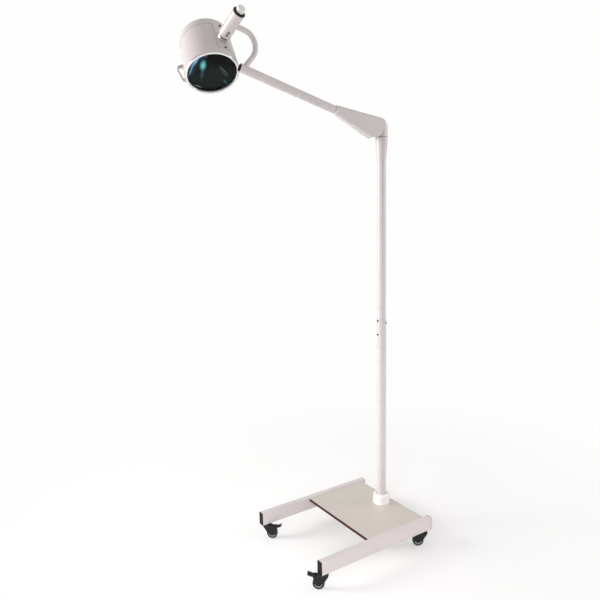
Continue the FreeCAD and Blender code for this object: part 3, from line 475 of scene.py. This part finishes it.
def fillet(points, steps=5):
    """Closed outline [(r, z) or (r, z, corner radius)] to (r, z) points with rounded corners."""
    rounded = []
    for i, point in enumerate(points):
        before, corner, after = (
            np.array(points[(i + k) % len(points)][:2], float) for k in (-1, 0, 1))
        if len(point) < 3:
            rounded.append(tuple(corner))
            continue
        back, ahead = unit(before - corner), unit(after - corner)
        half = math.acos(float(np.clip(back @ ahead, -1, 1))) / 2
        # the fillet may use up to just under half of each side
        reach = min(point[2] / math.tan(half), 0.48 * np.linalg.norm(before - corner),
                    0.48 * np.linalg.norm(after - corner))
        radius = reach * math.tan(half)
        centre = corner + unit(back + ahead) * (radius / math.sin(half))
        start, end = corner + back * reach - centre, corner + ahead * reach - centre
        total = math.atan2(start[0] * end[1] - start[1] * end[0], start @ end)
        count = max(2, int(round(steps * abs(total) / (math.pi / 2))))
        for j in range(count + 1):
            cos, sin = math.cos(total * j / count), math.sin(total * j / count)
            turned = np.array([start[0] * cos - start[1] * sin, start[0] * sin + start[1] * cos])
            rounded.append(tuple(centre + turned))
    clean = []
    for point in rounded:
        if not clean or math.dist(point, clean[-1]) > 1e-4:
            clean.append(point)
    if math.dist(clean[0], clean[-1]) < 1e-4:
        clean.pop()
    return clean


def mirrored(half):
    """Half an outline followed by its mirror image in z."""
    return half + [(r, -z, *corner) for r, z, *corner in reversed(half)]


def arc_profile(start, end, radius, count):
    """Points on an arc from start to end (left turn when the radius is positive)."""
    start, end = np.array(start, float), np.array(end, float)
    chord = end - start
    length = np.linalg.norm(chord)
    side = np.array([-chord[1], chord[0]]) / length
    depth = math.copysign(math.sqrt(radius * radius - length * length / 4), radius)
    centre = (start + end) / 2 + side * depth
    first = math.atan2(*(start - centre)[::-1])
    last = math.atan2(*(end - centre)[::-1])
    angles = [first + (last - first) * k / count for k in range(count + 1)]
    return [tuple(centre + abs(radius) * np.array([math.cos(a), math.sin(a)])) for a in angles]


def pole(bm, place, z):
    return [bm.verts.new(place @ Vector((0, 0, z * MM)))]


def ring(bm, place, z, count, radius_at):
    """Ring of vertices about the place's Z; radius_at gives the radius (mm) at each angle."""
    verts = []
    for k in range(count):
        angle = 2 * math.pi * k / count
        r = radius_at(angle)
        point = Vector((r * math.cos(angle) * MM, r * math.sin(angle) * MM, z * MM))
        verts.append(bm.verts.new(place @ point))
    return verts


def tube_ring(bm, place, centre, across, beside, count):
    """Ring of vertices round a centre (mm), spanned by two radius vectors."""
    verts = []
    for k in range(count):
        angle = 2 * math.pi * k / count
        point = centre + math.cos(angle) * across + math.sin(angle) * beside
        verts.append(bm.verts.new(place @ Vector(tuple(point * MM))))
    return verts


def bridge(bm, first, second):
    """Faces between two rings, either of which may be a single pole vertex."""
    count = max(len(first), len(second))
    if count == 1:
        return
    for k in range(count):
        k2 = (k + 1) % count
        if len(first) == 1:
            bm.faces.new((first[0], second[k2], second[k]))
        elif len(second) == 1:
            bm.faces.new((first[k], first[k2], second[0]))
        else:
            bm.faces.new((first[k], first[k2], second[k2], second[k]))


def lathe(name, outline, place, body, mat, slot, replaced=None, seg=128, wave=None):
    """Turns a closed (r, z) outline about the place's Z; wave(angle, r) may shift the radius."""
    bm = bmesh.new()
    rings = []
    for r, z in outline:
        if r < 1e-6:
            rings.append(pole(bm, place, z))
        else:
            rings.append(ring(bm, place, z, seg,
                              lambda angle: r + (wave(angle, r) if wave else 0.0)))
    for i, first in enumerate(rings):
        bridge(bm, first, rings[(i + 1) % len(rings)])
    to_object(bm, name, body, mat, replaced)


def lathe_piece(piece, *args, **options):
    """Turned replacement for one CAD piece."""
    lathe(piece + "_fine", *args, replaced=piece, **options)


def socket_screws(piece, places, shank_r, tip, seat, top, head_r, hex_r, depth, seg=48):
    """Cap screws with a hexagon recess: shank from tip to seat, head from seat to top along
    each place's Z."""
    bm = bmesh.new()
    round_r = min(0.5, (top - seat) * 0.3)
    outline = [(shank_r - 0.4, tip), (shank_r, tip + 0.4), (shank_r, seat),
               (head_r - 0.2, seat), (head_r, seat + 0.2), (head_r, top - round_r)]
    for k in range(1, 5):
        angle = math.pi / 2 * k / 4
        outline.append((head_r - round_r + round_r * math.cos(angle),
                        top - round_r + round_r * math.sin(angle)))

    def hexagon(angle):
        off_flat = (angle % (math.pi / 3)) - math.pi / 6
        return hex_r * math.cos(math.pi / 6) / math.cos(off_flat)

    for place in places:
        rings = [pole(bm, place, tip)]
        rings += [ring(bm, place, z, seg, lambda angle: r) for r, z in outline]
        # the recess mouth is slightly wider than its walls
        for z, grow in ((top, 0.15), (top - 0.12, 0.0), (top - depth, 0.0)):
            rings.append(ring(bm, place, z, seg, lambda angle: hexagon(angle) + grow))
        rings.append(pole(bm, place, top - depth - 0.3))
        for first, second in zip(rings, rings[1:]):
            bridge(bm, first, second)
    to_object(bm, piece + "_fine", NODES[piece]["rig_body"], material_of(piece),
              piece, sharp=50)


# ================================================================ CAD pieces with broken edges
# piece, bevel width mm
for piece, width in (
    ("base_plate", 1.0), ("plate_edge_trim", 0.5), ("plate_brackets", 0.5),
    ("bracket_bolts", 0.4), ("collar_bolts", 0.5), ("rail_end_caps", 0.5),
    ("pivot_bracket", 0.6), ("elbow_knuckle", 1.2), ("arm_cover_left", 0.7),
    ("arm_cover_right", 0.7), ("saddle_plate", 0.5), ("head_handle", 0.9),
    ("lamp_bracket", 0.3), ("transformer", 1.2),
):
    refine(piece, width)

# ================================================================ column
# Outlines from here on: radius, height, optional corner radius.
plate_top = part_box("base_plate")[1].z / MM
collar_top = plate_top + 47
lathe_piece("column_collar", fillet([
    (COLUMN_R + FIT, plate_top), (41.0, plate_top, 0.6), (41.0, plate_top + 6.5, 0.8),
    (39.4, plate_top + 8.0, 0.8), (39.0, collar_top, 5.0), (24.6, collar_top, 0.8),
    (COLUMN_R + FIT, plate_top + 42.5),
]), WORLD, "base", PAINT_LIGHT, "paint")


def socket_outline():
    """Sleeve that flares smoothly from the column's radius to a thicker rim."""
    bottom, top = (corner.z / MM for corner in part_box("top_socket"))
    flare_start, flare_end = bottom + 4, top - 17
    steps = 18
    outline = [(20.05, bottom), (21.4, bottom), (21.8, bottom + 0.5)]
    for k in range(steps + 1):
        t = k / steps
        ease = t * t * (3 - 2 * t)
        outline.append((COLUMN_R + 0.5 * t + 4.1 * ease,
                        flare_start + t * (flare_end - flare_start)))
    return outline + [
        (26.9, top - 13.4), (27.0, top - 12.6), (27.0, top - 1.0), (26.7, top - 0.3),
        (26.0, top), (14.02, top), (14.02, bottom + 19), (20.05, bottom + 15.5),
    ]


lathe_piece("top_socket", socket_outline(), WORLD, "base", PAINT, "paint")

COLUMN_SCREWS = [(-90, 1029.0), (30, 1019.0), (150, 1019.0), (-90, 964.0)]  # degrees, height
socket_screws("column_screws", [outward(WORLD, angle, z) for angle, z in COLUMN_SCREWS],
              shank_r=2.5, tip=16.5, seat=COLUMN_R + FIT, top=24.4, head_r=4.2, hex_r=2.0,
              depth=1.5)

# ================================================================ arm
COVER_FRONT = 236.5  # end of the arm covers along the arm
# ring at the covers' mouth: the ring is a real piece, its white plastic is a painted highlight
# round the arm tube
lathe_piece("socket_ring", fillet([
    (ARM_TUBE_R + FIT, COVER_FRONT + FIT), (20.2, COVER_FRONT + FIT, 0.4),
    (20.2, COVER_FRONT + 2.5, 1.0), (18.9, COVER_FRONT + 3.6, 0.6),
    (17.4, COVER_FRONT + 3.5, 0.4), (ARM_TUBE_R + FIT, COVER_FRONT + 2.4),
]), ARM, "arm", KNOB, SLOT_OF["socket_ring"])

ARM_LENGTH = 698.1
HOOK_TUBE_R = 10.0
HOOK_BEND_R = 56.6
HOOK_HEIGHT = 137.0
BEND_Y = HOOK_HEIGHT - HOOK_BEND_R  # bend centre
BEND_Z = ARM_LENGTH + 8.6
HOOK_DIR_Y, HOOK_DIR_Z = 0.898, -0.44  # direction of the hooked tube's foot


def weld_curve(count):
    """Points where the hooked tube's foot meets the arm tube, found by bisection."""
    foot = np.array([0.0, BEND_Y + HOOK_DIR_Z * HOOK_BEND_R, BEND_Z - HOOK_DIR_Y * HOOK_BEND_R])
    direction = unit(np.array([0.0, HOOK_DIR_Y, HOOK_DIR_Z]))
    across = np.array([1.0, 0, 0])
    beside = np.cross(direction, across)
    curve = []
    for i in range(count):
        angle = 2 * math.pi * i / count
        start = foot + HOOK_TUBE_R * (math.cos(angle) * across + math.sin(angle) * beside)
        inside, outside = -80.0, 20.0
        for _ in range(50):
            middle = (inside + outside) / 2
            point = start + middle * direction
            if math.hypot(point[0], point[1]) > ARM_TUBE_R:
                outside = middle
            else:
                inside = middle
        curve.append(start + outside * direction)
    return curve


def weld_bead():
    """Rippled bead where the hooked tube leaves the arm tube."""
    bm = bmesh.new()
    count = 160
    curve = weld_curve(count)
    rings = []
    for i, point in enumerate(curve):
        tangent = unit(curve[(i + 1) % count] - curve[i - 1])
        radial = unit(np.array([point[0], point[1], 0.0]))
        side = unit(np.cross(tangent, radial))
        normal = np.cross(side, tangent)
        turn = 2 * math.pi * i / count
        radius = 1.9 + 0.22 * math.sin(22 * turn) + 0.12 * math.sin(5 * turn + 0.7)
        rings.append(tube_ring(bm, ARM, point, radius * 0.8 * normal, radius * side, 14))
    for i, first in enumerate(rings):
        bridge(bm, first, rings[(i + 1) % count])
    to_object(bm, "yoke_weld_bead", "arm", PAINT, weighted=False)


weld_bead()

# ================================================================ swivel barrel and knob
lathe_piece("tilt_barrel", fillet([
    (11.05, -BARREL_HALF), (BARREL_R, -BARREL_HALF, 2.2), (BARREL_R, BARREL_HALF, 2.0),
    (11.05, BARREL_HALF, 0.6),
]), BARREL, "barrel", PAINT, "paint")
lathe_piece("barrel_end_ring", fillet([
    (8.6, 54.02), (24.4, 54.02, 0.5), (24.4, 57.6, 1.3), (17.5, 58.0, 0.5), (16.5, 56.0, 0.5),
    (8.6, 56.0),
]), BARREL, "barrel", BLACK, "black_plastic")

BARREL_SCREWS = [(88.0, -24.0), (84.0, -35.5)]  # degrees, height
socket_screws("barrel_screws", [outward(BARREL, angle, z) for angle, z in BARREL_SCREWS],
              shank_r=2.0, tip=12.5, seat=BARREL_R + FIT, top=26.2, head_r=3.6, hex_r=1.7,
              depth=1.3)

KNOB_START = 58.6
KNOB_OUTLINE = [  # heights above KNOB_START
    (5.06, 0.0), (14.0, 0.0, 0.6), (15.7, 2.0, 0.8), (15.7, 4.0, 0.2), (15.0, 4.5, 0.2),
    (15.0, 5.1, 0.2), (16.0, 5.6, 0.3), (16.0, 20.8, 9.8), (0.0, 20.8), (0.0, 18.0),
    (5.06, 18.0),
]
lathe_piece("tension_knob",
            fillet([(r, KNOB_START + z, *corner) for r, z, *corner in KNOB_OUTLINE], steps=9),
            BARREL, "knob", KNOB, "knob_white")

# ================================================================ head
DRUM_BACK, DRUM_FRONT = -80.0, 74.0
DRUM_BACK_R, DRUM_FRONT_R = 98.2, 106.6
DRUM_WALL = 2.0
BEZEL_R = 104.0
lathe_piece("drum_housing", fillet([
    (DRUM_BACK_R - DRUM_WALL, DRUM_BACK), (DRUM_BACK_R, DRUM_BACK, 0.5),
    (DRUM_FRONT_R, DRUM_FRONT, 2.6), (BEZEL_R + FIT, DRUM_FRONT, 0.3),
    (BEZEL_R + FIT, DRUM_FRONT - 2.4), (DRUM_FRONT_R - DRUM_WALL, DRUM_FRONT - 6),
]), HEAD, "head", PAINT, "paint", seg=192)

COVER_END = -111.0
COVER_R = 99.6
COVER_ROUND = 14.0
COVER_RIM = DRUM_BACK - 0.1
COVER_FLAT_R = COVER_R - COVER_ROUND
DRUM_BORE = DRUM_BACK_R - DRUM_WALL
cover_back = [(0.0, COVER_END - 3.0), (30.0, COVER_END - 2.7), (60.0, COVER_END - 1.6)]
# the first and last points only steer the fillets
cover_corner = fillet([
    (COVER_FLAT_R - 8, COVER_END - 0.7), (COVER_R, COVER_END, COVER_ROUND),
    (COVER_R, COVER_RIM, 0.8), (COVER_R - 6, COVER_RIM),
], steps=12)[1:-1]
cover_inside = [
    (DRUM_BORE - 0.4, COVER_RIM), (DRUM_BORE - 0.4, DRUM_BACK + 10),
    (DRUM_BORE - 2.2, DRUM_BACK + 10), (DRUM_BORE - 2.2, COVER_END + COVER_ROUND),
    (DRUM_BORE - 4.0, COVER_END + 6), (COVER_FLAT_R, COVER_END + 2.2), (0.0, COVER_END - 0.8),
]
lathe_piece("rear_cover", cover_back + cover_corner + cover_inside,
            HEAD, "head", PAINT, "paint", seg=192)

lathe_piece("bezel_ring", fillet([
    (94.5, 69.5), (BEZEL_R, 69.5, 0.4), (BEZEL_R, 80.0, 4.4), (96.5, 79.4, 1.6),
    (94.5, 74.0, 0.6),
], steps=7), HEAD, "head", CHROME, "chrome", seg=192)
lathe_piece("front_glass", fillet([(0.0, 64.0), (99.0, 64.0, 0.7), (99.0, 68.0, 0.7), (0.0, 68.0)]),
            HEAD, "head", LENS, "lens", seg=192)


def facets(angle, r):
    """24 shallow waves that fade out towards the reflector's rim."""
    return 0.18 * math.cos(24 * angle) * min(1.0, max(0.0, (90.0 - r) / 20.0))


bowl = arc_profile((20.0, -46.0), (91.0, 58.0), radius=190.0, count=36)
flange = [(97.0, 58.0), (97.0, 59.5)]
shell = arc_profile((90.0, 59.5), (19.0, -44.6), radius=-188.5, count=36)
lathe_piece("reflector", bowl + flange + shell, HEAD, "head", DICHROIC, "dichroic",
            seg=192, wave=facets)

SADDLE_SEAT = 3.55  # screw head seats above the drum's wall
SADDLE_SHANK = 7.5
SADDLE_SCREWS = [(-4.0, -74.5), (-2.0, 47.0)]  # degrees, height


def saddle_place(angle, z):
    slope = (DRUM_FRONT_R - DRUM_BACK_R) / (DRUM_FRONT - DRUM_BACK)
    drum_r = DRUM_BACK_R + (z - DRUM_BACK) * slope
    lift = (drum_r + SADDLE_SEAT - SADDLE_SHANK) * MM
    return outward(HEAD, angle, z) @ Matrix.Translation((0, 0, lift))


socket_screws("saddle_screws", [saddle_place(angle, z) for angle, z in SADDLE_SCREWS],
              shank_r=2.0, tip=0.0, seat=SADDLE_SHANK, top=10.1, head_r=4.5, hex_r=2.1,
              depth=1.6)


def filament():
    """Coil inside the capsule with its two leads."""
    bm = bmesh.new()
    turns, steps = 9, 20
    wire_r, coil_r = 0.28, 1.3
    return_x, leads_z = 3.4, -44.0
    coil_start, coil_length, coil_top = -34.0, 10.0, -23.0
    path = [(coil_r, 0.0, leads_z), (coil_r, 0.0, -39.0)]
    for i in range(turns * steps + 1):
        angle = 2 * math.pi * i / steps
        path.append((coil_r * math.cos(angle), coil_r * math.sin(angle),
                     coil_start + coil_length * i / (turns * steps)))
    path += [(coil_r, 0.0, coil_top), (return_x, 0.0, coil_top), (return_x, 0.0, leads_z)]
    path = np.array(path)
    rings = []
    for i, point in enumerate(path):
        tangent = unit(path[min(i + 1, len(path) - 1)] - path[max(i - 1, 0)])
        across = unit(np.cross(tangent, [0.3, 0.2, 0.93]))
        beside = np.cross(tangent, across)
        rings.append(tube_ring(bm, HEAD, point, wire_r * across, wire_r * beside, 6))
    for first, second in zip(rings, rings[1:]):
        bridge(bm, first, second)
    bm.faces.new(rings[0])
    bm.faces.new(rings[-1][::-1])
    to_object(bm, "bulb_filament", "head", FILAMENT, weighted=False)


filament()

# ================================================================ casters
TYRE_OUTLINE = fillet(mirrored([(17.0, -8.7), (18.6, -9.0, 0.6), (25.0, -9.0, 4.2)]), steps=8)
HUB_OUTLINE = fillet(mirrored([
    (3.06, -9.6), (6.5, -9.6, 0.8), (7.3, -6.4, 0.8), (12.6, -6.0, 0.8), (13.6, -8.6, 0.7),
    (16.9, -8.6, 0.3), (16.98, -6.0),
]))
UP = Vector((0, 0, 1))
for corner in ("front_left", "front_right", "back_left", "back_right"):
    axle = joint_axis("wheel_spin_" + corner)
    wheel = frame_of(JOINT["wheel_spin_" + corner]["pos_m"], UP.cross(axle), UP, axle)
    lathe("wheel_tyre_" + corner, TYRE_OUTLINE, wheel, "wheel_" + corner, TYRE, "tyre_rubber",
          replaced="caster_wheel_" + corner, seg=96)
    lathe("wheel_hub_" + corner, HUB_OUTLINE, wheel, "wheel_" + corner, HUB, "tyre_rubber",
          seg=96)
    refine("caster_fork_" + corner, 0.9, segments=3)
for corner in ("front_left", "front_right"):
    refine("brake_pedal_" + corner, 0.7)
refine("caster_stems", 0.5)

# ================================================================ stage
BACKDROP = (0.99, 0.99, 0.985, 1)


def floor_material():
    """Pale floor that fades into the white backdrop a few metres away, for the camera only."""
    mat, tree, out, coord = blank_material("pale_floor")
    cloud = spread(tree, noise(tree, coord, scale=0.8), 0.0, 1.0)
    shader = node(tree, "BsdfPrincipled", {
        "Base Color": blend_colours(tree, cloud, (0.945, 0.943, 0.94), (0.955, 0.953, 0.95)),
        "Roughness": spread(tree, noise(tree, coord, scale=5.0), 0.62, 0.7),
        "Specular IOR Level": 0.15,
    })
    away = node(tree, "VectorMath", {0: coord}, operation="LENGTH")
    fade = node(tree, "MapRange",
                {"From Min": -0.6, "From Max": 2.2, "Value": away.outputs["Value"]},
                interpolation_type="SMOOTHSTEP")
    camera_ray = node(tree, "LightPath", {}).outputs["Is Camera Ray"]
    seen_far = node(tree, "Math", {0: fade.outputs[0], 1: camera_ray}, operation="MULTIPLY")
    backdrop = node(tree, "Emission", {"Color": BACKDROP})
    blend = node(tree, "MixShader",
                 {0: seen_far.outputs[0], 1: shader.outputs[0], 2: backdrop.outputs[0]})
    tree.links.new(blend.outputs[0], out.inputs[0])
    return mat


bpy.ops.mesh.primitive_grid_add(x_subdivisions=40, y_subdivisions=40, size=40.0,
                                location=(0, 0, 0))
floor = bpy.context.object
floor.name = "studio_floor"
floor.data.materials.append(floor_material())


def studio_world():
    """Soft ambient light, seen by the camera as a white backdrop."""
    world = bpy.data.worlds.new("studio")
    bpy.context.scene.world = world
    world.use_nodes = True
    tree = world.node_tree
    tree.nodes.clear()
    out = node(tree, "OutputWorld", {})
    ambient = node(tree, "Background", {"Color": (1.0, 0.985, 0.98, 1), "Strength": 0.63})
    seen = node(tree, "Background", {"Color": BACKDROP, "Strength": 1.0})
    camera_ray = node(tree, "LightPath", {}).outputs["Is Camera Ray"]
    mix = node(tree, "MixShader", {0: camera_ray, 1: ambient.outputs[0], 2: seen.outputs[0]})
    tree.links.new(mix.outputs[0], out.inputs[0])


studio_world()


def area(name, at, to, size, power, colour):
    """Rectangular area light, size (x, y) in metres, aimed at a point."""
    light = bpy.data.lights.new(name, "AREA")
    light.energy = power
    light.color = colour
    light.shape = "RECTANGLE"
    light.size, light.size_y = size
    obj = bpy.data.objects.new(name, light)
    bpy.context.scene.collection.objects.link(obj)
    obj.location = at
    obj.rotation_mode = "QUATERNION"
    obj.rotation_quaternion = (Vector(to) - Vector(at)).to_track_quat("-Z", "Y")
    obj.visible_camera = False
    return light


area("key", at=(-2.6, -4.2, 2.1), to=(0.0, -0.3, 1.0), size=(1.6, 3.0), power=184,
     colour=(1.0, 0.99, 0.98))
area("rim", at=(2.4, 3.6, 2.4), to=(0.0, -0.2, 1.2), size=(1.2, 2.2), power=50,
     colour=(1.0, 0.98, 0.98))
low_fill = area("low_fill", at=(2.5, -2.7, 1.7), to=(0.05, -0.25, 0.08), size=(0.8, 0.6),
                power=4.6, colour=(1.0, 0.98, 0.985))
low_fill.spread = math.radians(55)


def camera(at, yaw, pitch, roll, lens):
    """Camera turned by yaw from +Y, looking down by pitch; angles in radians."""
    forward = Vector((-math.sin(yaw) * math.cos(pitch), math.cos(yaw) * math.cos(pitch),
                      -math.sin(pitch)))
    level = Vector((math.cos(yaw), math.sin(yaw), 0))
    upright = level.cross(forward)
    right = level * math.cos(roll) + upright * math.sin(roll)
    up = upright * math.cos(roll) - level * math.sin(roll)
    data = bpy.data.cameras.new("camera")
    data.sensor_width = 36.0
    data.lens = lens
    data.clip_end = 100
    obj = bpy.data.objects.new("camera", data)
    bpy.context.scene.collection.objects.link(obj)
    obj.matrix_world = frame_of(at, right, up, -forward)
    bpy.context.scene.camera = obj


camera(at=(2.08734, -1.81775, 1.56740), yaw=0.991, pitch=0.157, roll=-0.021, lens=35.9736)

view = bpy.context.scene.view_settings
view.view_transform = "Standard"
view.look = "None"
view.exposure = 0.0
view.gamma = 1.0
